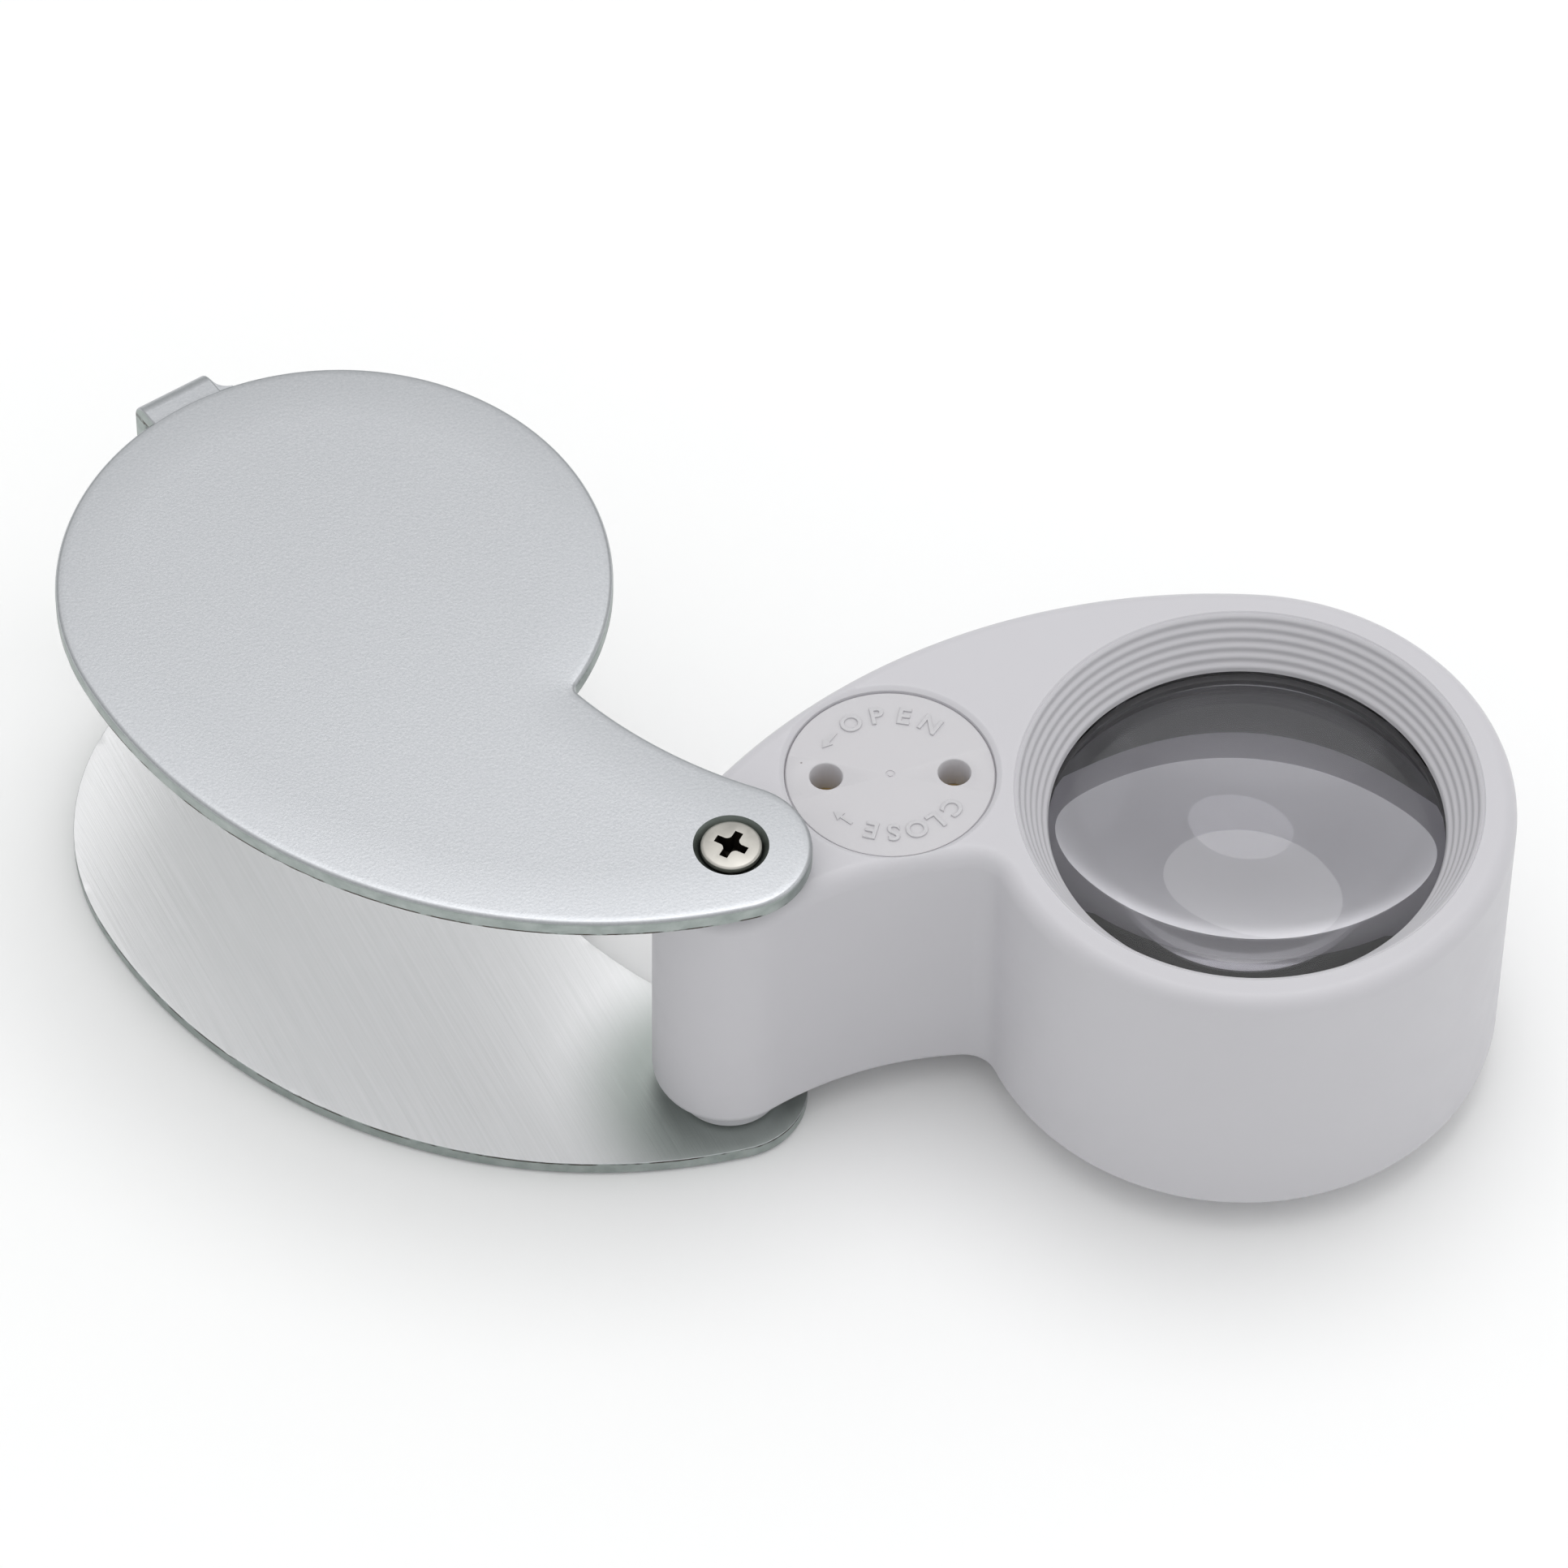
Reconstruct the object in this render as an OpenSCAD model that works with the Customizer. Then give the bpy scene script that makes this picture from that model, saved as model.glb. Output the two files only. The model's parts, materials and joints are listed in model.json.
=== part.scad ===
// Folding pocket magnifier with a built-in lamp.
// A cover folded from sheet metal carries a moulded lens body on a screwed pivot, and the
// lens body swings out from between the cover's two plates.
// Millimetres. +Z is up and +X runs from the pivot to the lens. The origin is in the middle
// of the bounding box, on the underside, with the magnifier held partly open.

/* [Lens] */
// Diameter of the two glass lenses
lens_d = 25; // [24:0.5:25]
// Thickness of a lens at its edge
lens_edge = 2; // [1.5:0.1:2.2]
// Height of a lens's dome above its edge
lens_dome = 2.4; // [1.8:0.1:2.6]
// Radius of the stepped eye funnel at the top face
funnel_r = 14.4; // [13.8:0.1:14.8]
// Depth of the stepped eye funnel
funnel_depth = 3.2; // [2.8:0.1:3.4]
// Number of steps in the eye funnel
funnel_steps = 7; // [3:1:9]

/* [Lens body] */
// Distance from the pivot to the lens centre
reach = 32.4; // [32:0.1:33]
// Height of the moulded body
body_h = 20.6; // [20.4:0.1:22]
// Outside radius of the body round the lens
ring_r = 16.5; // [16:0.1:16.5]
// Radius of the arm's end round the pivot
arm_end_r = 4.7; // [4.5:0.05:4.9]
// Offset of the arm's end to the side of the pivot
arm_end_y = 0.6; // [0.4:0.1:0.8]
// Radius of the body's long convex back
back_r = 40; // [38:1:44]
// Radius of the hollow along the arm's front
waist_r = 23; // [21:0.5:26]
// Place of that hollow's centre along the arm
waist_x = 11.7; // [11.2:0.1:12.2]
// Radius in the corner between the arm and the ring
corner_r = 2; // [1:0.25:3]

/* [Cover] */
// Thickness of the sheet
sheet = 1.2; // [1:0.1:1.3]
// Gap between a plate and the body
plate_gap = 1.3; // [1:0.1:1.6]
// Radius of the plate's round end
cover_ring_r = 17.3; // [17:0.1:17.5]
// Radius of the plate's end round the pivot
cover_end_r = 4.95; // [4.6:0.05:5.2]
// Radius of the plate's long convex back
cover_back_r = 35.8; // [34:0.2:40]
// Radius of the hollow along the plate's front
cover_waist_r = 30.75; // [28:0.25:34]
// Place of that hollow's centre along the plate
cover_waist_x = 12; // [11:0.25:13]
// Radius in the notch between the hollow and the round end
cover_corner_r = 0.6; // [0.4:0.1:1.5]
// Width of the strap that joins the plates
strap_w = 5; // [4:0.25:6]
// Angle of the strap on the round end, from the cover's long axis
strap_angle = -15; // [-20:1:-10]
// Outside of the strap, from the round end's centre
strap_reach = 19.3; // [19.2:0.1:20]
// Radius in the corner between the plate and the strap's front side
strap_corner_r = 1.2; // [0.6:0.1:1.6]
// Outside radius of the strap's two bends
bend_r = 1.3; // [1.3:0.1:2]

/* [Pivot] */
// Angle between the cover and the lens body as drawn
open_angle = 128.4; // [90:0.1:180]
// Radius of the barrel that the body turns on
barrel_r = 2.5; // [2.3:0.1:2.6]
// Radius of the countersunk screw head
screw_head_r = 1.93; // [1.85:0.01:1.95]

/* [Battery] */
// Place of the battery cap along the arm
cap_x = 11.1; // [10.9:0.1:11.3]
// Place of the battery cap across the arm
cap_y = 5.8; // [5.6:0.1:6]
// Radius of the battery cap
cap_r = 6.42; // [6.3:0.01:6.45]
// Thickness of the battery cap
cap_h = 2.4; // [2:0.1:2.6]
// Diameter of a button cell
cell_d = 11.6; // [11.2:0.1:11.6]
// Height of a button cell
cell_h = 3.03; // [2.6:0.01:3.05]

/* [Hidden] */
$fn = 96;
eps = 0.02;             // hairline left between pieces that touch
slack = 0.05;           // radial play of a shaft in its hole
over = 1;               // how far a cutter runs past a face

// Heights
body_z = sheet + plate_gap;
body_top = body_z + body_h;
cover_h = body_top + body_z;
boss_gap = 0.1;
boss_r = 3.3;

// Lens stack, from the eye end down
lens_r = lens_d / 2;
dome_r = (lens_r * lens_r + lens_dome * lens_dome) / (2 * lens_dome);
tube_r = lens_r + slack;
sight_r = lens_r - 0.25;
seat_z = body_top - funnel_depth;
eye_edge_top = seat_z - 0.12;
eye_edge_low = eye_edge_top - lens_edge;
spacer_h = 1;
field_edge_top = eye_edge_low - spacer_h - 2 * eps;
field_edge_low = field_edge_top - lens_edge;
stop_r = 12;            // clear radius of the spacer
sleeve_r = 12.1;        // clear radius of the sleeve
sleeve_low = body_z + 3.8;
sleeve_top = field_edge_low - eps;

// Battery stack, from the top face down
cap_recess = 0.3;
mouth_bevel = 0.4;
cap_bore_r = cap_r + 0.08;
cap_low = body_top - cap_recess - cap_h;
contact_t = 0.3;
well_r = cell_d / 2 + 0.15;
shoulder_z = cap_low - contact_t - 2 * eps;
cells_low = shoulder_z - 3 * (cell_h + eps);
spring_h = 1.6;
well_floor = cells_low - spring_h;
floor_t = 1.3;
pin_circle_d = 7.9;
pin_hole_r = 1;
pin_angle = -8.4;

// Arm cavity under the battery well, closed by the base cover
rebate_inset = 1.2;
base_t = 1.2;
cavity_inset = 2.2;
cavity_low = body_z + base_t;
cavity_top = well_floor - floor_t;
tube_wall_r = 14.1;
arm_low_y = -4;         // front limit of the cavity and the base cover
arm_end_x = 22;         // their limit towards the lens
base_screw_at = [[6.4, 0.9], [15.5, 12.6]];
base_screw_boss_r = 1.6;
base_head_r = 1.1;
base_shank_r = 0.57;
base_screw_len = 4.4;

// Switch and lamp
leaf_t = 0.2;
leaf_h = 1.6;
leaf_z = 6.1;
leaf_y = barrel_r + eps + leaf_t / 2;
strip_t = 0.25;
strip_w = 2.5;
lamp_r = 1.5;
lamp_len = 3.2;
lamp_flange_r = 1.75;
lamp_flange_h = 0.6;
lamp_tilt = 20;
lamp_bearing = 160;
lamp_back = 16.8;       // distance of the lamp's back from the lens axis
lamp_z = 6.1;
lamp_at = [reach + lamp_back * cos(lamp_bearing), lamp_back * sin(lamp_bearing)];
lead_t = 0.45;

// Pivot screws
screw_sink = 0.2;
screw_rim = 0.35;
screw_shank_r = 1.2;
screw_len = 7;
sink_r = 2.45;
sink_low_r = 1.35;
barrel_hole_r = screw_shank_r + slack;
switch_flat = 2;        // distance of the barrel's switch flat from its axis

// Key ring lug
lug_r = 1.4;
lug_proud = 2.8;
lug_sheet = 0.8;
lug_h = 2.4;
lug_reach = strap_reach + lug_proud;

// Frame: the bounding box of the part as drawn, seen from above
strap_dir = open_angle + strap_angle;
cover_at = reach * [cos(open_angle), sin(open_angle)];
box_low = [cover_at.x - cover_ring_r, -ring_r];
box_high = [reach + ring_r, cover_at.y + (lug_reach - lug_r) * sin(strap_dir) + lug_r];
frame_at = (box_low + box_high) / 2;

// --- Outline helpers ---

function bearing(v) = atan2(v.y, v.x);

// Points along an arc of n steps: all of them, or all but the last
function arc(c, r, from, to, n) =
    [for (i = [0 : n]) let (a = from + (to - from) * i / n) c + r * [cos(a), sin(a)]];
function open_arc(c, r, from, to, n) =
    [for (i = [0 : n - 1]) let (a = from + (to - from) * i / n) c + r * [cos(a), sin(a)]];

// Centre, below the long axis, of the circle of radius r that holds two circles and
// touches both from inside. The circles are c1, r1 and c2, r2.
function back_centre(c1, r1, c2, r2, r) =
    let (
        d = norm(c2 - c1),
        u = (c2 - c1) / d,
        x = ((r - r1) * (r - r1) - (r - r2) * (r - r2) + d * d) / (2 * d),
        y = sqrt((r - r1) * (r - r1) - x * x)
    )
    c1 + x * u + y * [u.y, -u.x];

// Crossing of two circles that lies to the left when looking from c1 to c2
function left_crossing(c1, r1, c2, r2) =
    let (
        d = norm(c2 - c1),
        u = (c2 - c1) / d,
        x = (r1 * r1 - r2 * r2 + d * d) / (2 * d),
        y = sqrt(r1 * r1 - x * x)
    )
    c1 + x * u + y * [-u.y, u.x];

// Comma-shaped outline made of five arcs that run into each other, anticlockwise from the
// notch: round end, long back, small end, hollow front and notch. d moves it inwards.
function comma(round_r, end_c, end_r, back, hollow_r, hollow_x, notch_r, d) =
    let (
        round_c = [reach, 0],
        back_c = back_centre(end_c, end_r, round_c, round_r, back),
        drop = sqrt(pow(end_r + hollow_r, 2) - hollow_x * hollow_x),
        hollow_c = [hollow_x, end_c.y - drop],
        notch_c = left_crossing(hollow_c, hollow_r - notch_r, round_c, round_r + notch_r),
        head = bearing(round_c - back_c),
        foot = bearing(end_c - back_c),
        ankle = bearing(hollow_c - end_c)
    )
    concat(
        open_arc(round_c, round_r - d, bearing(notch_c - round_c), head, 60),
        open_arc(back_c, back - d, head, foot, 20),
        open_arc(end_c, end_r - d, foot, ankle + 360, 24),
        open_arc(hollow_c, hollow_r + d, ankle + 180, bearing(notch_c - hollow_c), 12),
        open_arc(notch_c, notch_r + d, bearing(notch_c - hollow_c),
                 bearing(round_c - notch_c), 8)
    );

function body_outline(d) =
    comma(ring_r, [0, arm_end_y], arm_end_r, back_r, waist_r, waist_x, corner_r, d);

function cover_outline() =
    comma(cover_ring_r, [0, 0], cover_end_r, cover_back_r, cover_waist_r, cover_waist_x,
          cover_corner_r, 0);

// Outline of a bent strip of thickness t along the path p
function edge_normal(p, i) = let (v = p[i + 1] - p[i]) [-v.y, v.x] / norm(v);
function path_normal(p, i) =
    i == 0 ? edge_normal(p, 0)
    : i == len(p) - 1 ? edge_normal(p, i - 1)
    : let (a = edge_normal(p, i - 1), b = edge_normal(p, i)) (a + b) / (1 + a * b);
function strip(p, t) =
    concat(
        [for (i = [0 : len(p) - 1]) p[i] - path_normal(p, i) * t / 2],
        [for (i = [len(p) - 1 : -1 : 0]) p[i] + path_normal(p, i) * t / 2]
    );

// --- Placing helpers ---

// Everything is drawn with the pivot at the origin and then moved into the frame
module in_frame() {
    translate([-frame_at.x, -frame_at.y, 0]) children();
}

// Children are drawn with the cover's long axis along +X
module on_cover() {
    in_frame() rotate(open_angle) children();
}

module at_lens() {
    in_frame() translate([reach, 0, 0]) children();
}

module at_battery() {
    in_frame() translate([cap_x, cap_y, 0]) children();
}

// A level slice of the given outline, from z up
module slab(outline, z, h) {
    translate([0, 0, z]) linear_extrude(h) polygon(outline);
}

// --- Cover ---

// U-shaped strap, seen from its edge, with its ends inside the plates
function strap_profile() =
    let (
        inner_r = bend_r - sheet,
        c = strap_reach - bend_r,
        root = cover_ring_r - 2
    )
    concat(
        [[root, 0]],
        arc([c, bend_r], bend_r, -90, 0, 8),
        arc([c, cover_h - bend_r], bend_r, 0, 90, 8),
        [[root, cover_h], [root, cover_h - sheet]],
        arc([c, cover_h - bend_r], inner_r, 90, 0, 6),
        arc([c, bend_r], inner_r, 0, -90, 6),
        [[root, sheet]]
    );

// Fillet between the plate's round end and the strap's front side, seen from above
function strap_fillet() =
    let (
        r = strap_corner_r,
        y = -strap_w / 2 - r,
        x = sqrt(pow(cover_ring_r + r, 2) - y * y)
    )
    concat([[cover_ring_r - 1.5, -strap_w / 2 + 1], [x, -strap_w / 2 + 1]],
           arc([x, y], r, 90, 180 + bearing([x, y]), 8),
           [[cover_ring_r - 1.5, y]]);

// Arch pressed out of the strap for a key ring, seen from above
function lug_arch(r, root) =
    let (c = lug_reach - lug_r)
    concat([[root, -r]], arc([c, 0], r, -90, 90, 16), [[root, r]]);

module countersink() {
    translate([0, 0, -sheet]) cylinder(r1 = sink_low_r, r2 = sink_r, h = sheet);
    translate([0, 0, -sheet - over]) cylinder(r = sink_low_r, h = sheet + over);
}

module cover_shell() {
    color("silver") on_cover() difference() {
        union() {
            slab(cover_outline(), 0, sheet);
            slab(cover_outline(), cover_h - sheet, sheet);
            translate([reach, 0, 0]) rotate(strap_angle) {
                translate([0, strap_w / 2, 0]) rotate([90, 0, 0])
                    linear_extrude(strap_w) polygon(strap_profile());
                slab(strap_fillet(), 0, sheet);
                slab(strap_fillet(), cover_h - sheet, sheet);
                slab(lug_arch(lug_r, strap_reach - sheet / 2), (cover_h - lug_h) / 2, lug_h);
            }
        }
        translate([reach, 0, 0]) rotate(strap_angle)
            slab(lug_arch(lug_r - lug_sheet, strap_reach - sheet - over),
                 cover_h / 2 - lug_h / 2 - eps, lug_h + 2 * eps);
        translate([0, 0, cover_h]) countersink();
        mirror([0, 0, 1]) countersink();
    }
}

// --- Pivot ---

module pivot_barrel() {
    chamfer = 0.2;
    color("gainsboro") on_cover() difference() {
        translate([0, 0, sheet]) cylinder(r = barrel_r, h = cover_h - 2 * sheet);
        cylinder(r = barrel_hole_r, h = cover_h);
        translate([0, 0, sheet])
            cylinder(r1 = barrel_hole_r + chamfer, r2 = barrel_hole_r, h = chamfer);
        translate([0, 0, cover_h - sheet - chamfer])
            cylinder(r1 = barrel_hole_r, r2 = barrel_hole_r + chamfer, h = chamfer);
        // Flat that lets the switch leaf fall back when the magnifier is closed
        rotate(90) translate([switch_flat, -barrel_r, leaf_z - eps - 0.08])
            cube([barrel_r, 2 * barrel_r, leaf_h + 0.2]);
    }
}

// Countersunk cross-head screw, with its head's top at the origin and its shank down
module pivot_screw() {
    cone_h = screw_head_r - screw_shank_r;
    slot_w = 0.55;
    slot_len = 2.3;
    slot_depth = 0.9;
    difference() {
        union() {
            translate([0, 0, -screw_rim]) cylinder(r = screw_head_r, h = screw_rim);
            translate([0, 0, -screw_rim - cone_h])
                cylinder(r1 = screw_shank_r, r2 = screw_head_r, h = cone_h);
            translate([0, 0, -screw_len]) cylinder(r = screw_shank_r, h = screw_len - screw_rim);
        }
        for (turn = [0, 90]) rotate(turn)
            translate([-slot_len / 2, -slot_w / 2, -slot_depth])
                cube([slot_len, slot_w, slot_depth + over]);
    }
}

module pivot_screw_top() {
    color("lightgray") on_cover() translate([0, 0, cover_h - screw_sink]) pivot_screw();
}

module pivot_screw_bottom() {
    color("lightgray") on_cover() translate([0, 0, screw_sink]) mirror([0, 0, 1]) pivot_screw();
}

// --- Lens body ---

// Section of the lens tube and the stepped funnel above it
function sight_profile() =
    let (
        rise = funnel_depth / funnel_steps,
        run = (funnel_r - sight_r) / (funnel_steps - 1)
    )
    concat(
        [[0, body_z - over], [tube_r, body_z - over], [tube_r, seat_z]],
        [for (i = [0 : funnel_steps - 1], j = [0, 1])
            [sight_r + i * run, seat_z + (i + j) * rise]],
        [[funnel_r, body_top + over], [0, body_top + over]]
    );

// Section of the battery well, the cap's bore and its bevelled mouth
function well_profile() = [
    [0, well_floor], [well_r, well_floor], [well_r, shoulder_z], [cap_bore_r, shoulder_z],
    [cap_bore_r, body_top - mouth_bevel], [cap_bore_r + mouth_bevel, body_top],
    [cap_bore_r + mouth_bevel, body_top + over], [0, body_top + over]
];

// Part of the arm between the pivot and the lens tube, cut back by d from the outline
module arm_area(d, from_x, clear_r) {
    difference() {
        intersection() {
            polygon(body_outline(d));
            translate([from_x, arm_low_y]) square([arm_end_x - from_x, 2 * ring_r]);
        }
        translate([reach, 0]) circle(r = clear_r);
    }
}

module arm_cavity() {
    translate([0, 0, cavity_low - eps]) linear_extrude(cavity_top - cavity_low + eps)
        difference() {
            arm_area(cavity_inset, 4.3, tube_wall_r + 0.7);
            for (p = base_screw_at) translate(p) circle(r = base_screw_boss_r, $fn = 48);
        }
}

// Window through which the switch leaves reach the barrel
module switch_window() {
    window = [7, 1.15, leaf_h + 0.4];
    translate([-1.9, leaf_y - leaf_t, leaf_z - 0.2]) cube(window);
}

module lamp_axis() {
    translate([lamp_at.x, lamp_at.y, lamp_z])
        rotate([0, 90 + lamp_tilt, lamp_bearing - 180]) children();
}

module lens_housing() {
    color("whitesmoke") in_frame() difference() {
        union() {
            slab(body_outline(0), body_z, body_h);
            translate([0, 0, sheet + boss_gap])
                cylinder(r = boss_r, h = cover_h - 2 * (sheet + boss_gap));
        }
        cylinder(r = barrel_r + slack, h = cover_h);
        translate([reach, 0, 0]) rotate_extrude() polygon(sight_profile());
        translate([cap_x, cap_y, 0]) rotate_extrude() polygon(well_profile());
        translate([cap_x, cap_y, cavity_top - over])
            cylinder(r = 1.2, h = well_floor - cavity_top + 2 * over, $fn = 48);
        translate([0, 0, body_z - over]) linear_extrude(base_t + over)
            arm_area(rebate_inset, 3.5, tube_wall_r);
        arm_cavity();
        switch_window();
        // Groove for the contact strip down the side of the well
        translate([cap_x - well_r - 0.5, cap_y - strip_w / 2 - slack, cavity_top - over])
            cube([1, strip_w + 2 * slack, shoulder_z - cavity_top + over]);
        lamp_axis() cylinder(r = lamp_r + slack, h = 2 * lamp_len, $fn = 64);
        for (p = base_screw_at) translate([p.x, p.y, cavity_low - over])
            cylinder(r = base_shank_r + 0.03, h = base_screw_len + over - base_t + 0.3,
                     $fn = 48);
    }
}

module base_cover() {
    gap = 0.1;
    color("whitesmoke") in_frame() difference() {
        translate([0, 0, body_z]) linear_extrude(base_t - slack)
            arm_area(rebate_inset + gap, 3.5 + gap, tube_wall_r + gap);
        for (p = base_screw_at) translate([p.x, p.y, body_z]) {
            translate([0, 0, -over]) cylinder(r = base_shank_r + 0.1, h = 3 * over, $fn = 48);
            translate([0, 0, -over]) cylinder(r = base_head_r + 0.1, h = over + 0.7, $fn = 48);
        }
    }
}

module base_screws() {
    head_h = 0.6;
    color("dimgray") in_frame() for (p = base_screw_at)
        translate([p.x, p.y, body_z + 0.7 - head_h - eps]) difference() {
            union() {
                cylinder(r = base_head_r, h = head_h, $fn = 48);
                cylinder(r = base_shank_r, h = base_screw_len, $fn = 48);
            }
            for (turn = [0, 90]) rotate(turn)
                translate([-0.65, -0.15, -over]) cube([1.3, 0.3, over + 0.35]);
        }
}

// Lens with its flat side at the origin and its dome up
module lens() {
    intersection() {
        cylinder(r = lens_r, h = lens_edge + lens_dome + over);
        translate([0, 0, lens_edge + lens_dome - dome_r]) sphere(r = dome_r);
    }
}

module lens_ring(h, clear_r) {
    difference() {
        cylinder(r = lens_r, h = h);
        translate([0, 0, -over]) cylinder(r = clear_r, h = h + 2 * over);
    }
}

module eye_lens() {
    color("lightblue") at_lens() translate([0, 0, eye_edge_low]) lens();
}

module lens_spacer() {
    color("dimgray") at_lens() translate([0, 0, eye_edge_low - eps - spacer_h])
        lens_ring(spacer_h, stop_r);
}

module field_lens() {
    color("lightblue") at_lens() translate([0, 0, field_edge_top]) mirror([0, 0, 1]) lens();
}

// Dark sleeve under the lens stack. It holds the lenses in the tube and stops stray light,
// and its upper edge is dished to clear the lower lens.
module inner_sleeve() {
    dish_h = 0.5;
    dish_r = lens_r - 0.05;
    color("dimgray") at_lens() difference() {
        translate([0, 0, sleeve_low]) lens_ring(sleeve_top - sleeve_low, sleeve_r);
        translate([0, 0, sleeve_top - dish_h]) cylinder(r1 = sleeve_r, r2 = dish_r, h = dish_h);
    }
}

// --- Battery and contacts ---

// Button cell, drawn from its smaller negative face up
module cell(level) {
    can_low = 0.35;
    button_r = cell_d / 2 - 1.2;
    at_battery() translate([0, 0, cells_low + level * (cell_h + eps)]) {
        cylinder(r = button_r, h = cell_h / 2);
        translate([0, 0, can_low]) cylinder(r = cell_d / 2, h = cell_h - can_low);
    }
}

module cell_top() {
    color("silver") cell(2);
}

module cell_middle() {
    color("silver") cell(1);
}

module cell_bottom() {
    color("silver") cell(0);
}

// Folded leaf that presses on the lowest cell, riveted through the floor of the well
module bottom_contact() {
    w = 3;
    fold = [[-3.6, 0.12], [3.4, 0.12], [3.9, 0.45], [3.4, 0.78], [-0.6, 1.38], [-2.2, 1.2]];
    color("goldenrod") at_battery() {
        translate([0, w / 2, well_floor + eps]) rotate([90, 0, 0])
            linear_extrude(w) polygon(strip(fold, leaf_t));
        translate([0, 0, leaf_z]) cylinder(r = 1, h = well_floor + 0.1 - leaf_z, $fn = 48);
    }
}

// Strip that leads the cap's contact down to the switch
module side_contact() {
    color("goldenrod") in_frame()
        translate([cap_x - well_r - 0.45, cap_y - strip_w / 2, leaf_z])
            cube([strip_t, strip_w, shoulder_z - leaf_z + eps]);
}

module leaf(path) {
    color("goldenrod") in_frame() slab(strip(path, leaf_t), leaf_z, leaf_h);
}

// Sprung leaf that rides on the barrel
module switch_leaf() {
    leaf([[-1.6, leaf_y], [5.2, leaf_y], [7.2, leaf_y + 0.3], [9, leaf_y + 0.3]]);
}

// Fixed leaf that the sprung one meets while the magnifier is open
module switch_contact() {
    y = leaf_y + leaf_t + eps;
    x = cap_x - well_r - 0.45 - eps - leaf_t / 2;
    leaf([[-0.4, y], [x - 0.5, y], [x, y + 1], [x, cap_y + strip_w / 2]]);
}

module led_lamp() {
    color("azure") in_frame() lamp_axis() {
        cylinder(r = lamp_r, h = lamp_len, $fn = 64);
        cylinder(r = lamp_flange_r, h = lamp_flange_h, $fn = 64);
        translate([0, 0, lamp_len]) sphere(r = lamp_r, $fn = 64);
    }
}

// Two square leads, from the lamp's back to the well's rivet and to the sprung leaf
module led_leads() {
    back = [cos(lamp_bearing), sin(lamp_bearing)];
    side = [-back.y, back.x];
    to_rivet = [lamp_at + 0.03 * back - 0.6 * side, lamp_at + 1.6 * back - 0.6 * side,
                [cap_x + 1.3, cap_y + 1.2], [cap_x + 1 + lead_t / 2, cap_y]];
    to_leaf = [lamp_at + 0.03 * back + 0.6 * side, lamp_at + 1.6 * back + 0.6 * side,
               [13.2, leaf_y + 1], [9.6, leaf_y + 0.75], [8.3, leaf_y + 0.75]];
    color("silver") in_frame() for (path = [to_rivet, to_leaf])
        slab(strip(path, lead_t), lamp_z, lead_t);
}

module cap_contact() {
    color("goldenrod") at_battery() translate([0, 0, cap_low - eps - contact_t]) difference() {
        cylinder(r = cap_r - 0.1, h = contact_t);
        translate([0, 0, -over]) cylinder(r = 0.8, h = contact_t + 2 * over, $fn = 48);
    }
}

// Screw-in cap with two holes for a pin spanner
module battery_cap() {
    color("white") at_battery() translate([0, 0, cap_low]) difference() {
        cylinder(r = cap_r, h = cap_h);
        for (turn = [0, 180]) rotate(pin_angle + turn)
            translate([pin_circle_d / 2, 0, -over])
                cylinder(r = pin_hole_r, h = cap_h + 2 * over, $fn = 48);
    }
}

cover_shell();
pivot_barrel();
pivot_screw_top();
pivot_screw_bottom();
lens_housing();
base_cover();
base_screws();
eye_lens();
lens_spacer();
field_lens();
inner_sleeve();
cell_top();
cell_middle();
cell_bottom();
bottom_contact();
side_contact();
switch_leaf();
switch_contact();
led_lamp();
led_leads();
cap_contact();
battery_cap();
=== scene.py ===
# Looks of the folding pocket magnifier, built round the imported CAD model.
# Lengths are in millimetres while a shape is made, and MM turns them into metres.
import json
import math

import bmesh
import bpy
from mathutils import Matrix, Vector, noise


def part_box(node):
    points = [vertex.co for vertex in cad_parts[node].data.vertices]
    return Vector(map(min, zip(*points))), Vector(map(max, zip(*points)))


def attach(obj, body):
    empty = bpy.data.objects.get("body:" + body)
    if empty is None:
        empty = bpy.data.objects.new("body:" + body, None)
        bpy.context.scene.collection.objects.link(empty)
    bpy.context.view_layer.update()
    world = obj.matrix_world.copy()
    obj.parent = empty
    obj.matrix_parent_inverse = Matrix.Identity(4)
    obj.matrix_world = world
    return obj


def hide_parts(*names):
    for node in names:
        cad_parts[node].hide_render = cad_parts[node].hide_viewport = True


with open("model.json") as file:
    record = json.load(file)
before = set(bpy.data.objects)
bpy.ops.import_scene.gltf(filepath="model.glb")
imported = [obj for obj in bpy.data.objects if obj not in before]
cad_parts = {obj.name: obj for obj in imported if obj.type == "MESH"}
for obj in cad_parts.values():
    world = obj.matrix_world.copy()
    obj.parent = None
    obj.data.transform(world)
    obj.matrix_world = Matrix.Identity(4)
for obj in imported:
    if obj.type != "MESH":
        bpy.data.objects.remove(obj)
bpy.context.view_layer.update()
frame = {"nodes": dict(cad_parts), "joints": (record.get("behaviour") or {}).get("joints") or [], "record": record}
MM = 0.001


# ---------------------------------------------------------------- places from the frame

def box_mm(node):
    low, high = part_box(node)
    return Vector(low) / MM, Vector(high) / MM


def centre_mm(node):
    low, high = box_mm(node)
    return (low + high) / 2


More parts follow.
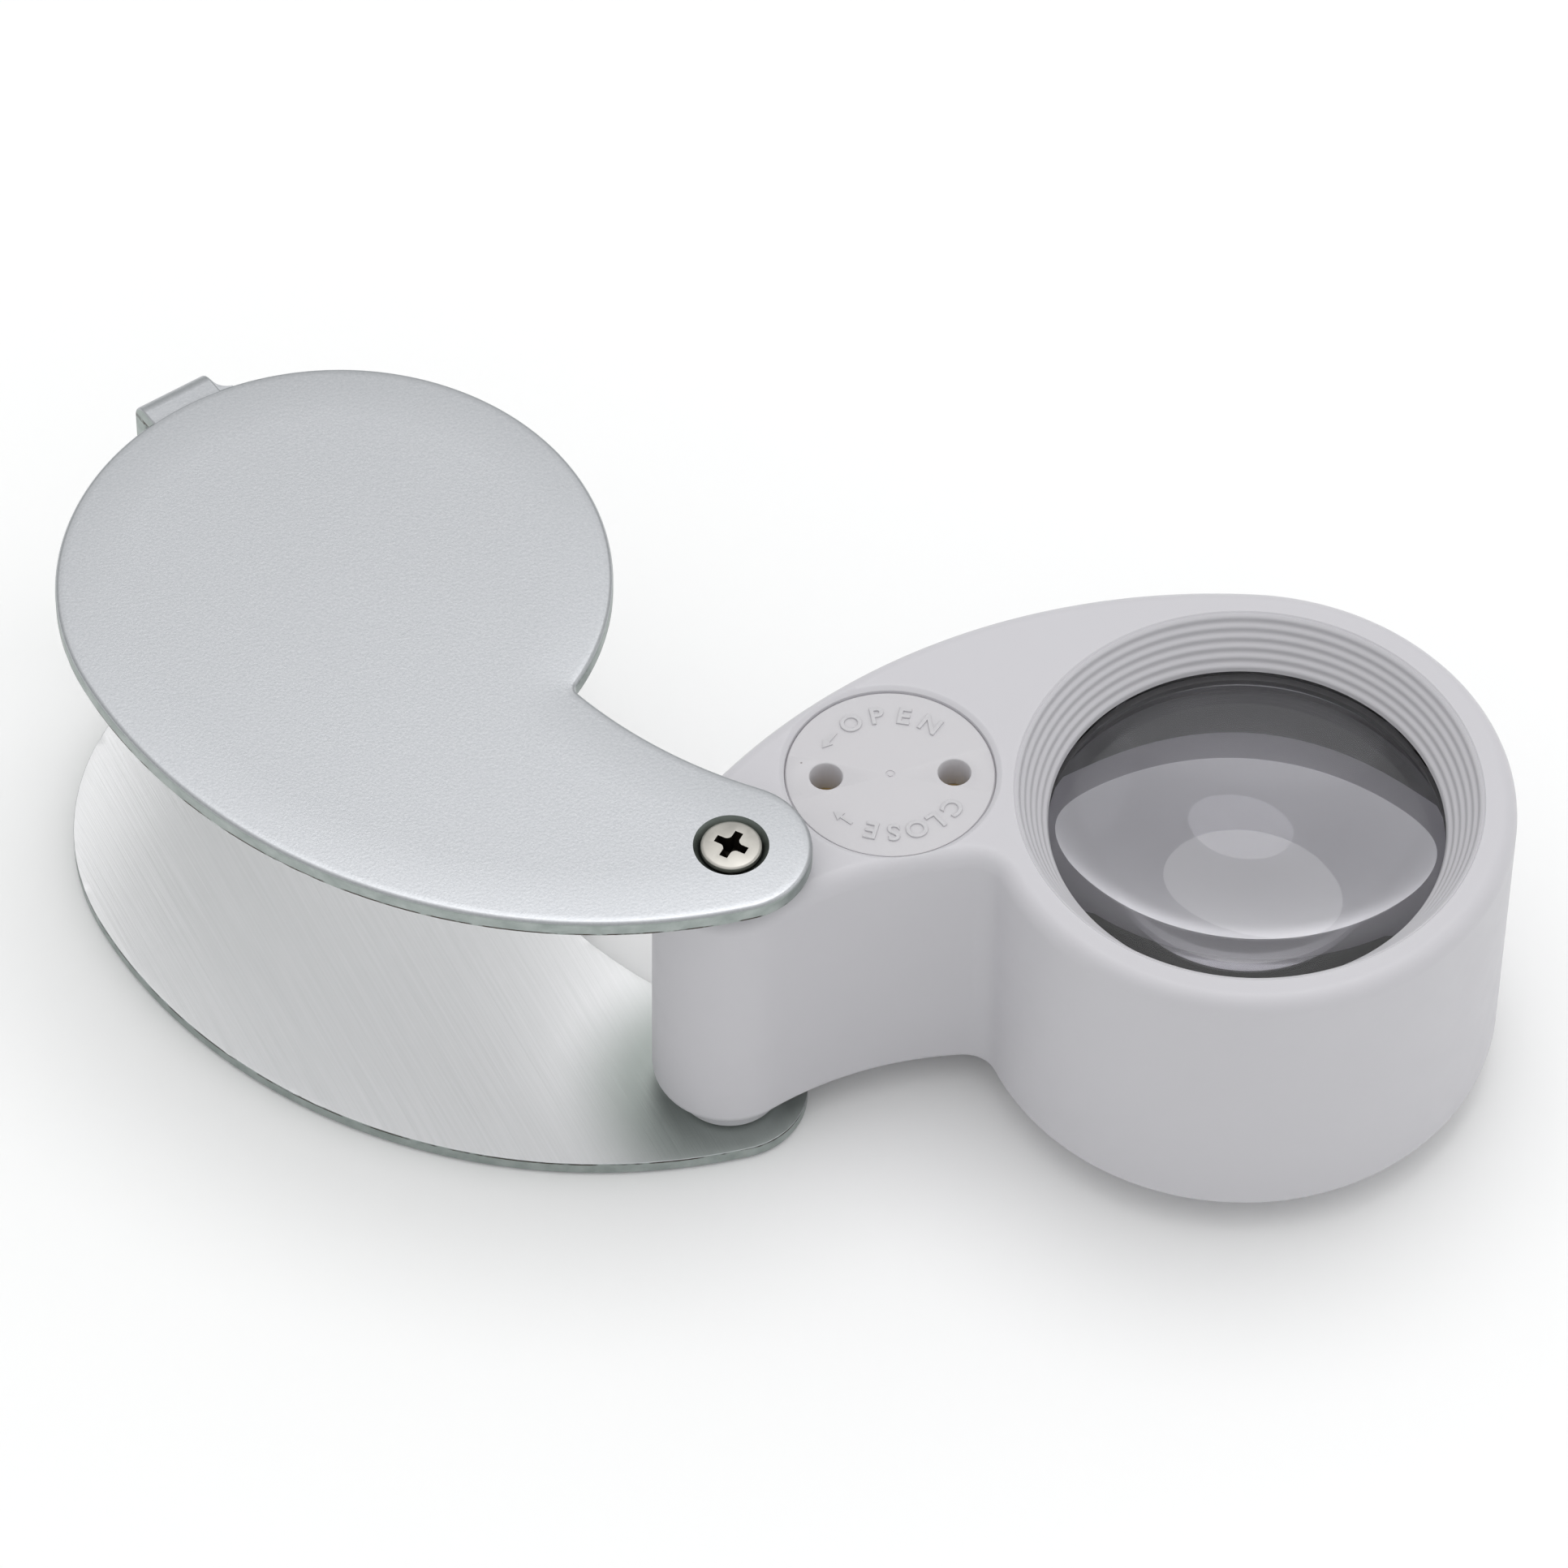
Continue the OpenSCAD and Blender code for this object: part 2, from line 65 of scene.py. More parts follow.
JOINTS = {joint["name"]: joint for joint in frame["joints"]}
PIVOT = Vector(JOINTS["lens_swing"]["pos_m"]) / MM
LENS = centre_mm("eye_lens")
CAP = centre_mm("battery_cap")
HOUSING_LOW, HOUSING_HIGH = box_mm("lens_housing")
CAP_LOW, CAP_HIGH = box_mm("battery_cap")
EYE_LOW, EYE_HIGH = box_mm("eye_lens")
FIELD_LOW, FIELD_HIGH = box_mm("field_lens")
REACH = LENS.x - PIVOT.x
OPEN_ANGLE = JOINTS["lens_swing"]["range_deg"][1]
COVER_H = box_mm("cover_shell")[1].z
SHEET = box_mm("pivot_barrel")[0].z
BODY_Z = box_mm("base_cover")[0].z
CAP_RECESS = 0.3
BODY_TOP = CAP_HIGH.z + CAP_RECESS
RING_R = HOUSING_HIGH.x - LENS.x
PIVOT_XY = Vector((PIVOT.x, PIVOT.y, 0))


# ---------------------------------------------------------------- outlines

def arc(centre, radius, start, end, step):
    """Points along an arc in degrees, without its last one."""
    count = max(6, int(abs(math.radians(end - start)) * radius / step))
    angles = [math.radians(start + (end - start) * i / count) for i in range(count)]
    return [centre + radius * Vector((math.cos(a), math.sin(a))) for a in angles]


def bearing(v):
    return math.degrees(math.atan2(v.y, v.x))


def right_of(v):
    return Vector((v.y, -v.x))


def crossing(c1, r1, c2, r2, side):
    """Where two circles cross, on the left of c1 to c2 (side 1) or on its right (side -1)."""
    gap = (c2 - c1).length
    u = (c2 - c1) / gap
    x = (r1 * r1 - r2 * r2 + gap * gap) / (2 * gap)
    return c1 + x * u - side * math.sqrt(r1 * r1 - x * x) * right_of(u)


class Comma:
    """Outline of five arcs that run into each other: round end, back, small end, front, notch."""

    def __init__(self, round_r, end_y, end_r, back_r, front_r, front_x, notch_r):
        self.round_c = Vector((REACH, 0))
        self.round_r = round_r
        self.end_c = Vector((0, end_y))
        self.end_r = end_r
        self.back_r = back_r
        self.back_c = crossing(self.end_c, back_r - end_r, self.round_c, back_r - round_r, -1)
        self.front_r = front_r
        drop = math.sqrt((end_r + front_r) ** 2 - front_x ** 2)
        self.front_c = Vector((front_x, end_y - drop))
        self.notch_r = notch_r
        self.notch_c = crossing(self.front_c, front_r - notch_r,
                                self.round_c, round_r + notch_r, 1)

    def points(self, inset, step=0.5):
        head = bearing(self.round_c - self.back_c)
        foot = bearing(self.end_c - self.back_c)
        ankle = bearing(self.front_c - self.end_c)
        brow = bearing(self.notch_c - self.front_c)
        chin = bearing(self.round_c - self.notch_c)
        neck = bearing(self.notch_c - self.round_c)
        return (
            arc(self.round_c, self.round_r - inset, neck, head, step)
            + arc(self.back_c, self.back_r - inset, head, foot, step)
            + arc(self.end_c, self.end_r - inset, foot, ankle + 360, step)
            + arc(self.front_c, self.front_r + inset, ankle + 180, brow, step)
            + arc(self.notch_c, self.notch_r + inset, brow, chin, step)
        )


BODY = Comma(RING_R, 0.6, 4.7, 40, 23, 11.7, 2)
PLATE = Comma(17.3, 0, 4.95, 35.8, 30.75, 12, 0.6)


def rings_at_zero_inset(outline, levels, step):
    """The outline repeated at (inset, z) levels, with equal point counts at every level."""
    base = outline.points(0, step)
    rings = []
    for inset, z in levels:
        ring = []
        for i, p in enumerate(base):
            before, after = base[i - 1], base[(i + 1) % len(base)]
            normal = right_of((after - before).normalized())
            q = p - inset * normal
            ring.append(Vector((q.x, q.y, z)))
        rings.append(ring)
    return rings


def rounded_levels(low, high, low_in, low_up, high_in, high_down, steps=6):
    """(inset, z) pairs up a wall whose lower and upper edges are quarter ellipses."""
    levels = []
    for i in range(steps + 1):
        t = math.pi / 2 * (1 - i / steps)
        levels.append((low_in * (1 - math.cos(t)), low + low_up * (1 - math.sin(t))))
    for i in range(steps + 1):
        t = math.pi / 2 * i / steps
        levels.append((high_in * (1 - math.cos(t)), high - high_down * (1 - math.sin(t))))
    return levels


# ---------------------------------------------------------------- mesh helpers

def to_object(name, bm):
    bmesh.ops.recalc_face_normals(bm, faces=bm.faces)
    mesh = bpy.data.meshes.new(name)
    bm.to_mesh(mesh)
    bm.free()
    obj = bpy.data.objects.new(name, mesh)
    bpy.context.scene.collection.objects.link(obj)
    return obj


def loft(name, rings):
    """Closed solid through rings of equal point counts, in mm, capped at both ends."""
    bm = bmesh.new()
    rows = [[bm.verts.new(p * MM) for p in ring] for ring in rings]
    count = len(rows[0])
    for lower, upper in zip(rows, rows[1:]):
        for i in range(count):
            j = (i + 1) % count
            bm.faces.new((lower[i], lower[j], upper[j], upper[i]))
    bm.faces.new(list(reversed(rows[0])))
    bm.faces.new(rows[-1])
    return to_object(name, bm)


def revolve(name, profile, centre, segments=160):
    """Solid of revolution about +Z at centre: profile is (radius, z) pairs in mm."""
    bm = bmesh.new()
    rows = []
    for radius, z in profile:
        if radius < 1e-6:
            rows.append([bm.verts.new(Vector((centre.x, centre.y, z)) * MM)])
            continue
        row = []
        for i in range(segments):
            a = 2 * math.pi * i / segments
            p = Vector((centre.x + radius * math.cos(a), centre.y + radius * math.sin(a), z))
            row.append(bm.verts.new(p * MM))
        rows.append(row)
    closed = len(rows[0]) > 1
    pairs = list(zip(rows, rows[1:]))
    if closed:
        pairs.append((rows[-1], rows[0]))
    for a, b in pairs:
        for i in range(segments):
            j = (i + 1) % segments
            if len(a) == 1 and len(b) == 1:
                break
            if len(a) == 1:
                bm.faces.new((a[0], b[j], b[i]))
            elif len(b) == 1:
                bm.faces.new((a[i], a[j], b[0]))
            else:
                bm.faces.new((a[i], a[j], b[j], b[i]))
    return to_object(name, bm)


def transform(obj, matrix):
    obj.data.transform(matrix)
    return obj


def combine(target, other, operation):
    """Boolean of two objects, applied. The other object is used up."""
    modifier = target.modifiers.new("cut", "BOOLEAN")
    modifier.operation = operation
    modifier.solver = "EXACT"
    modifier.object = other
    bake(target)
    bpy.data.objects.remove(other)
    return target


def bake(obj):
    """Applies the object's modifiers to its mesh."""
    depsgraph = bpy.context.evaluated_depsgraph_get()
    mesh = bpy.data.meshes.new_from_object(obj.evaluated_get(depsgraph))
    obj.modifiers.clear()
    old = obj.data
    obj.data = mesh
    mesh.name = obj.name
    bpy.data.meshes.remove(old)


def cut(target, *tools):
    for tool in tools:
        combine(target, tool, "DIFFERENCE")
    return target


def join_to(target, *parts):
    for part in parts:
        combine(target, part, "UNION")
    return target


def smooth(obj, sharp_angle=32):
    """Smooth shading with sharp edges where faces meet steeply."""
    bm = bmesh.new()
    bm.from_mesh(obj.data)
    bmesh.ops.remove_doubles(bm, verts=bm.verts, dist=1e-7)
    limit = math.radians(sharp_angle)
    for face in bm.faces:
        face.smooth = True
    for edge in bm.edges:
        edge.smooth = len(edge.link_faces) == 2 and edge.calc_face_angle(0) < limit
    bm.to_mesh(obj.data)
    bm.free()
    weighted = obj.modifiers.new("normals", "WEIGHTED_NORMAL")
    weighted.keep_sharp = True
    return obj


def block(name, low, high):
    bm = bmesh.new()
    bmesh.ops.create_cube(bm, size=1)
    size = Vector(high) - Vector(low)
    middle = (Vector(high) + Vector(low)) / 2
    bmesh.ops.scale(bm, vec=size * MM, verts=bm.verts)
    bmesh.ops.translate(bm, vec=middle * MM, verts=bm.verts)
    return to_object(name, bm)


def place(obj, body, slot, *nodes):
    """Rides on a body, takes a material slot and stands for CAD nodes."""
    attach(obj, body)
    if nodes:
        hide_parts(*nodes)
    obj.data.materials.clear()
    obj.data.materials.append(MATERIALS[slot])
    return obj


# ---------------------------------------------------------------- materials

def new_material(name):
    material = bpy.data.materials.new(name)
    material.use_nodes = True
    nodes = material.node_tree.nodes
    return material, nodes, material.node_tree.links, nodes["Principled BSDF"]


def add_noise(nodes, links, coords, scale, detail=4, rough=0.55, stretch=None):
    source = coords
    if stretch:
        mapping = nodes.new("ShaderNodeMapping")
        mapping.inputs["Scale"].default_value = stretch
        links.new(coords, mapping.inputs["Vector"])
        source = mapping.outputs["Vector"]
    node = nodes.new("ShaderNodeTexNoise")
    node.inputs["Scale"].default_value = scale
    node.inputs["Detail"].default_value = detail
    node.inputs["Roughness"].default_value = rough
    links.new(source, node.inputs["Vector"])
    return node.outputs["Fac"]


def ramp(nodes, links, value, stops):
    node = nodes.new("ShaderNodeValToRGB")
    elements = node.color_ramp.elements
    while len(elements) < len(stops):
        elements.new(0.5)
    for element, (at, colour) in zip(elements, stops):
        element.position = at
        element.color = (*colour, 1) if len(colour) == 3 else colour
    links.new(value, node.inputs["Fac"])
    return node.outputs["Color"]


def object_coords(nodes):
    return nodes.new("ShaderNodeTexCoord").outputs["Object"]


def grey(v):
    return (v, v, v)


def add_bump(nodes, links, shader, height, strength, distance, normal=None):
    node = nodes.new("ShaderNodeBump")
    node.inputs["Strength"].default_value = strength
    node.inputs["Distance"].default_value = distance
    links.new(height, node.inputs["Height"])
    if normal is not None:
        links.new(normal, node.inputs["Normal"])
    links.new(node.outputs["Normal"], shader.inputs["Normal"])
    return node.outputs["Normal"]


def mix_colour(nodes, links, mask, base, over):
    """base with the plain colour over laid on it where mask is 1."""
    mix = nodes.new("ShaderNodeMix")
    mix.data_type = "RGBA"
    links.new(mask, mix.inputs["Factor"])
    links.new(base, mix.inputs["A"])
    mix.inputs["B"].default_value = (*over, 1)
    return mix.outputs["Result"]


def specks(nodes, links, coords, scale, size, share):
    """1 on tiny scattered dots, 0 elsewhere. share is the part of the cells that has one."""
    cells = nodes.new("ShaderNodeTexVoronoi")
    cells.inputs["Scale"].default_value = scale
    links.new(coords, cells.inputs["Vector"])
    near = math_node(nodes, links, "LESS_THAN", cells.outputs["Distance"], size)
    pick = nodes.new("ShaderNodeSeparateColor")
    links.new(cells.outputs["Color"], pick.inputs["Color"])
    chosen = math_node(nodes, links, "LESS_THAN", pick.outputs["Red"], share)
    return math_node(nodes, links, "MULTIPLY", near, chosen)


SCRATCH_LENGTH = 22


def scratches(nodes, links, coords, angle, scale, threshold):
    """1 on a few long thin lines, 0 elsewhere."""
    turned = nodes.new("ShaderNodeVectorRotate")
    turned.rotation_type = "Z_AXIS"
    turned.inputs["Angle"].default_value = math.radians(angle)
    links.new(coords, turned.inputs["Vector"])
    lines = add_noise(nodes, links, turned.outputs["Vector"], 1, 2, 0.5,
                      stretch=(scale, scale * SCRATCH_LENGTH, scale))
    return math_node(nodes, links, "GREATER_THAN", lines, threshold)


def plastic(name, colour, roughness):
    """White moulding: faint cloudy tone, fine grain, a few specks and scuffs, soft light in it."""
    material, nodes, links, shader = new_material(name)
    coords = object_coords(nodes)
    cloud = add_noise(nodes, links, coords, 60, 3)
    low = tuple(c * 0.98 for c in colour)
    tone = ramp(nodes, links, cloud, [(0.3, low), (0.7, colour)])
    dirt = specks(nodes, links, coords, 230, 0.022, 0.05)
    links.new(mix_colour(nodes, links, dirt, tone, (0.30, 0.28, 0.28)),
              shader.inputs["Base Color"])
    rough = ramp(nodes, links, add_noise(nodes, links, coords, 400, 3),
                 [(0.3, grey(roughness - 0.05)), (0.7, grey(roughness + 0.06))])
    scuff = scratches(nodes, links, coords, 35, 130, 0.78)
    links.new(mix_colour(nodes, links, scuff, rough, grey(roughness + 0.2)),
              shader.inputs["Roughness"])
    grain = add_noise(nodes, links, coords, 7000, 2)
    add_bump(nodes, links, shader, grain, 0.16, 0.00002)
    shader.inputs["Subsurface Weight"].default_value = 0.25
    shader.inputs["Subsurface Radius"].default_value = (1.0, 0.95, 0.95)
    shader.inputs["Subsurface Scale"].default_value = 0.0012
    shader.inputs["IOR"].default_value = 1.49
    return material


def cover_metal():
    """Satin blasted aluminium: fine grain, tiny dark specks and a few hair scratches."""
    material, nodes, links, shader = new_material("cover_metal")
    coords = object_coords(nodes)
    cloud = add_noise(nodes, links, coords, 90, 4)
    grain = add_noise(nodes, links, coords, 5200, 3, 0.7)
    tone = ramp(nodes, links, grain, [(0.3, (0.455, 0.47, 0.49)), (0.7, (0.52, 0.53, 0.55))])
    dirt = specks(nodes, links, coords, 260, 0.03, 0.10)
    links.new(mix_colour(nodes, links, dirt, tone, (0.25, 0.24, 0.24)),
              shader.inputs["Base Color"])
    shader.inputs["Metallic"].default_value = 1
    rough = ramp(nodes, links, cloud, [(0.3, grey(0.355)), (0.7, grey(0.385))])
    hair = scratches(nodes, links, coords, -30, 150, 0.77)
    links.new(mix_colour(nodes, links, hair, rough, grey(0.27)), shader.inputs["Roughness"])
    add_bump(nodes, links, shader, grain, 0.3, 0.00003)
    return material


def cover_edge():
    """Sheared edge: greener and darker than the faces, with a broken dark line of burr."""
    material, nodes, links, shader = new_material("cover_edge")
    coords = object_coords(nodes)
    shader.inputs["Metallic"].default_value = 1
    drag = add_noise(nodes, links, coords, 900, 4)
    tone = ramp(nodes, links, drag, [(0.3, (0.31, 0.35, 0.335)), (0.7, (0.43, 0.47, 0.455))])
    split = nodes.new("ShaderNodeSeparateXYZ")
    links.new(coords, split.inputs["Vector"])
    low_burr = band(nodes, links, split.outputs["Z"], (COVER_H - SHEET) * MM)
    high_burr = band(nodes, links, split.outputs["Z"], SHEET * MM)
    line = math_node(nodes, links, "ADD", low_burr, high_burr)
    broken = ramp(nodes, links, add_noise(nodes, links, coords, 520, 3),
                  [(0.44, grey(0)), (0.54, grey(1))])
    mask = math_node(nodes, links, "MULTIPLY", line, broken)
    links.new(mix_colour(nodes, links, mask, tone, (0.07, 0.06, 0.05)),
              shader.inputs["Base Color"])
    shader.inputs["Roughness"].default_value = 0.45
    add_bump(nodes, links, shader, drag, 0.4, 0.00004)
    return material


def math_node(nodes, links, operation, a, b):
    node = nodes.new("ShaderNodeMath")
    node.operation = operation
    for socket, value in zip(node.inputs, (a, b)):
        if isinstance(value, (int, float)):
            socket.default_value = value
        else:
            links.new(value, socket)
    return node.outputs["Value"]


def band(nodes, links, height, at, width=0.16 * MM):
    """1 within width of the height at, 0 elsewhere."""
    offset = math_node(nodes, links, "SUBTRACT", height, at)
    distance = math_node(nodes, links, "ABSOLUTE", offset, 0)
    return math_node(nodes, links, "LESS_THAN", distance, width)


BRUSH_ANGLE = math.radians(105)
BRUSH_SCALE = (90, 5200, 90)
# Radii in mm of the painted shade round the pivot: full inside the near one, gone past the far one.
PIVOT_SHADE_NEAR = 5.5
PIVOT_SHADE_FAR = 11.5


def pivot_shade_mask(nodes, links, coords):
    """1 beside the pivot's axis, fading to 0: where the sheet's colour is darkened to a painted dark-green
    reflection and shade.
    """
    flat = nodes.new("ShaderNodeVectorMath")
    flat.operation = "MULTIPLY"
    links.new(coords, flat.inputs[0])
    flat.inputs[1].default_value = (1, 1, 0)
    away = nodes.new("ShaderNodeVectorMath")
    away.operation = "DISTANCE"
    links.new(flat.outputs["Vector"], away.inputs[0])
    away.inputs[1].default_value = PIVOT_XY * MM
    fade = nodes.new("ShaderNodeMapRange")
    fade.interpolation_type = "SMOOTHSTEP"
    links.new(away.outputs["Value"], fade.inputs["Value"])
    fade.inputs["From Min"].default_value = PIVOT_SHADE_NEAR * MM
    fade.inputs["From Max"].default_value = PIVOT_SHADE_FAR * MM
    fade.inputs["To Min"].default_value = 0.8
    fade.inputs["To Max"].default_value = 0
    return fade.outputs["Result"]


def cover_inside():
    """Inside of the sheet: brushed in long straight strokes under a thin satin finish, with a painted dark-green
    reflection and shade round the pivot.
    """
    material, nodes, links, shader = new_material("cover_inside")
    coords = object_coords(nodes)
    turned = nodes.new("ShaderNodeVectorRotate")
    turned.rotation_type = "Z_AXIS"
    turned.inputs["Angle"].default_value = -BRUSH_ANGLE
    links.new(coords, turned.inputs["Vector"])
    strokes = add_noise(nodes, links, turned.outputs["Vector"], 1, 5, 0.6,
                        stretch=BRUSH_SCALE)
    shader.inputs["Metallic"].default_value = 0.85
    tone = ramp(nodes, links, strokes, [(0.3, (0.82, 0.825, 0.83)), (0.7, (0.89, 0.89, 0.90))])
    # Round the pivot the base colour fades to dark green: painted reflection and shade, not a mark on the sheet.
    pivot_shaded = mix_colour(nodes, links, pivot_shade_mask(nodes, links, coords), tone,
                        (0.30, 0.345, 0.32))
    links.new(pivot_shaded, shader.inputs["Base Color"])
    rough = ramp(nodes, links, strokes, [(0.3, grey(0.38)), (0.7, grey(0.50))])
    links.new(rough, shader.inputs["Roughness"])
    add_bump(nodes, links, shader, strokes, 0.5, 0.00003)
    return material


METAL_GRAIN = 1200


def simple_metal(name, colour, roughness):
    material, nodes, links, shader = new_material(name)
    coords = object_coords(nodes)
    shader.inputs["Metallic"].default_value = 1
    tone = add_noise(nodes, links, coords, METAL_GRAIN, 4)
    low = tuple(c * 0.85 for c in colour)
    links.new(ramp(nodes, links, tone, [(0.3, low), (0.7, colour)]), shader.inputs["Base Color"])
    rough = ramp(nodes, links, tone, [(0.3, grey(roughness)), (0.7, grey(roughness * 1.4))])
    links.new(rough, shader.inputs["Roughness"])
    add_bump(nodes, links, shader, tone, 0.15, 0.00002)
    return material


def lens_glass(name, reflection):
    """Clear glass with a faint smear. reflection scales its mirror image at normal incidence."""
    material, nodes, links, shader = new_material(name)
    coords = object_coords(nodes)
    shader.inputs["Base Color"].default_value = (0.95, 0.945, 0.972, 1)
    shader.inputs["Transmission Weight"].default_value = 1
    shader.inputs["IOR"].default_value = 1.5
    shader.inputs["Specular Tint"].default_value = (reflection, reflection, reflection, 1)
    smear = ramp(nodes, links, add_noise(nodes, links, coords, 150, 3),
                 [(0.45, grey(0.0)), (0.8, grey(0.012))])
    links.new(smear, shader.inputs["Roughness"])
    return material


def dark_plastic():
    material, nodes, links, shader = new_material("dark_plastic")
    coords = object_coords(nodes)
    tone = add_noise(nodes, links, coords, 500, 4)
    links.new(ramp(nodes, links, tone, [(0.3, grey(0.03)), (0.7, grey(0.05))]),
              shader.inputs["Base Color"])
    shader.inputs["Roughness"].default_value = 0.55
    add_bump(nodes, links, shader, add_noise(nodes, links, coords, 6000, 2), 0.2, 0.00002)
    return material


def lamp_clear():
    material, nodes, links, shader = new_material("lamp_clear")
    coords = object_coords(nodes)
    shader.inputs["Base Color"].default_value = (0.93, 0.95, 0.97, 1)
    shader.inputs["Transmission Weight"].default_value = 0.85
    shader.inputs["IOR"].default_value = 1.5
    tone = ramp(nodes, links, add_noise(nodes, links, coords, 800, 2),
                [(0.3, grey(0.03)), (0.7, grey(0.08))])
    links.new(tone, shader.inputs["Roughness"])
    return material


MATERIALS = {
    "cover_metal": cover_metal(),
    "body_plastic": plastic("body_plastic", (0.59, 0.58, 0.61), 0.42),
    "cap_plastic": plastic("cap_plastic", (0.59, 0.578, 0.60), 0.40),
    "lens_glass": lens_glass("lens_glass", 1.0),
    "lens_flat": lens_glass("lens_flat", 0.05),
    "dark_plastic": dark_plastic(),
    "screw_nickel": simple_metal("screw_nickel", (0.50, 0.485, 0.45), 0.33),
    # The cross recess is painted near-black: painted shade in the recess.
    "screw_recess_shade": simple_metal("screw_recess_shade", (0.022, 0.019, 0.016), 0.55),
    # The screw seats' cones are dark metal: painted shade of the deep gap round the screw heads.
    "countersink": simple_metal("countersink", (0.19, 0.215, 0.20), 0.38),
    "cover_edge": cover_edge(),
    "cover_inside": cover_inside(),
    "turned_steel": simple_metal("turned_steel", (0.60, 0.60, 0.60), 0.3),
    "cell_steel": simple_metal("cell_steel", (0.66, 0.66, 0.67), 0.3),
    "contact_brass": simple_metal("contact_brass", (0.78, 0.60, 0.30), 0.3),
    "lamp_clear": lamp_clear(),
    "lead_steel": simple_metal("lead_steel", (0.66, 0.66, 0.67), 0.3),
}


def dress_cad_nodes():
    """Every CAD node that stays takes its slot's procedural material."""
    for entry in frame["record"]["subparts"]:
        obj = frame["nodes"][entry["node"]]
        obj.data.materials.clear()
        obj.data.materials.append(MATERIALS[entry["material_slot"]])


# ---------------------------------------------------------------- lens body

FUNNEL_R = 14.4
SIGHT_R = 12.25
TUBE_R = 12.55
FUNNEL_DEPTH = 3.2
FUNNEL_STEPS = 6
RIB_DEPTH = 0.08
RIB_POINTS = 8
SEAT_Z = BODY_TOP - FUNNEL_DEPTH
FUNNEL_BREAK = 0.12
BORE_R = 2.55
BOSS_R = 3.3
CAP_BORE_R = 6.5
MOUTH_BEVEL = 0.4
WELL_R = 5.95
CONTACT_SPACE = 1.6
WELL_FLOOR = box_mm("cell_bottom")[0].z - CONTACT_SPACE
FLOOR_T = 1.3
CAVITY_TOP = WELL_FLOOR - FLOOR_T
CAP_SHOULDER = 0.34
BASE_T = 1.2
REBATE_INSET = 1.2
REBATE_START_X = 3.5
CAVITY_INSET = 2.2
CAVITY_START_X = 4.3
TUBE_WALL_R = 14.1
CAVITY_CLEAR_R = TUBE_WALL_R + 0.7
ARM_LOW_Y = -4
ARM_END_X = 22
BASE_SCREW_AT = ((6.4, 0.9), (15.5, 12.6))
BASE_POST_R = 1.6
LAMP_HOLE_R = 1.55
LAMP_TILT = math.radians(20)
RIVET_HOLE_R = 1.2
SWITCH_LOW = Vector((-1.9, 2.3, 5.9))
SWITCH_HIGH = Vector((5.1, 3.67, 7.9))
DOME_RISE = 2.4
LENS_BEVEL = 0.15


def funnel_profile():
    """Section of the sight tube: plain below the seat, a cone of soft ribs above it."""
    points = [(0, BODY_Z - 1), (TUBE_R + 0.5, BODY_Z - 1), (TUBE_R + 0.5, BODY_Z),
              (TUBE_R, BODY_Z + 0.5), (TUBE_R, SEAT_Z)]
    rise = FUNNEL_DEPTH / FUNNEL_STEPS
    run = (FUNNEL_R - SIGHT_R) / FUNNEL_STEPS
    slope = math.hypot(rise, run)
    for i in range(FUNNEL_STEPS):
        for k in range(RIB_POINTS):
            t = k / RIB_POINTS
            bulge = RIB_DEPTH * math.sin(math.pi * t) ** 2
            radius = SIGHT_R + (i + t) * run - bulge * rise / slope
            points.append((radius, SEAT_Z + (i + t) * rise + bulge * run / slope))
    points.append((FUNNEL_R, BODY_TOP - 0.1))
    points.append((FUNNEL_R + FUNNEL_BREAK, BODY_TOP + 0.02))
    points.append((FUNNEL_R + FUNNEL_BREAK, BODY_TOP + 1))
    points.append((0, BODY_TOP + 1))
    return points


def well_profile():
    """Section of the battery well, the cap's bore and its bevelled mouth."""
    mouth = CAP_BORE_R + MOUTH_BEVEL
    shoulder = CAP_LOW.z - CAP_SHOULDER
    return [(0, WELL_FLOOR), (WELL_R, WELL_FLOOR), (WELL_R, shoulder), (CAP_BORE_R, shoulder),
            (CAP_BORE_R, BODY_TOP - MOUTH_BEVEL), (CAP_BORE_R + 0.06, BODY_TOP - 0.22),
            (mouth - 0.1, BODY_TOP - 0.06), (mouth + 0.05, BODY_TOP + 0.01),
            (mouth + 0.05, BODY_TOP + 1), (0, BODY_TOP + 1)]


def shift(obj, by):
    return transform(obj, Matrix.Translation(by * MM))


def drum(name, radius, low, high, centre, segments=96):
    return revolve(name, [(0, low), (radius, low), (radius, high), (0, high)], centre, segments)


def arm_space(inset, start_x, clear_r, low, high):
    """Solid that fills the arm between the pivot and the lens tube, inset from its walls."""
    rings = [[Vector((p.x, p.y, z)) for p in BODY.points(inset, 0.5)] for z in (low, high)]
    space = shift(loft("space", rings), PIVOT_XY)
    limits = block("limits", (PIVOT.x + start_x, PIVOT.y + ARM_LOW_Y, low - 1),
                   (PIVOT.x + ARM_END_X, PIVOT.y + 2 * RING_R, high + 1))
    combine(space, limits, "INTERSECT")
    return cut(space, drum("clear", clear_r, low - 1, high + 1, LENS))


def arm_cavity():
    cavity = arm_space(CAVITY_INSET, CAVITY_START_X, CAVITY_CLEAR_R, BODY_Z + BASE_T - 0.02,
                       CAVITY_TOP)
    for x, y in BASE_SCREW_AT:
        at = PIVOT_XY + Vector((x, y, 0))
        cut(cavity, drum("post", BASE_POST_R, BODY_Z, CAVITY_TOP + 1, at, 48))
    return cavity


def lamp_hole():
    """Slanted hole that the lamp looks through into the lens tube."""
    low, high = box_mm("led_lamp")
    hole = drum("lamp_hole", LAMP_HOLE_R, -4, 6.5, Vector((0, 0, 0)), 64)
    towards = Vector((LENS.x, LENS.y, 0)) - Vector(((low.x + high.x) / 2, (low.y + high.y) / 2, 0))
    towards.normalize()
    axis = Vector((towards.x, towards.y, -math.tan(LAMP_TILT))).normalized()
    turn = axis.to_track_quat("Z", "Y").to_matrix().to_4x4()
    return transform(hole, Matrix.Translation((low + high) / 2 * MM) @ turn)


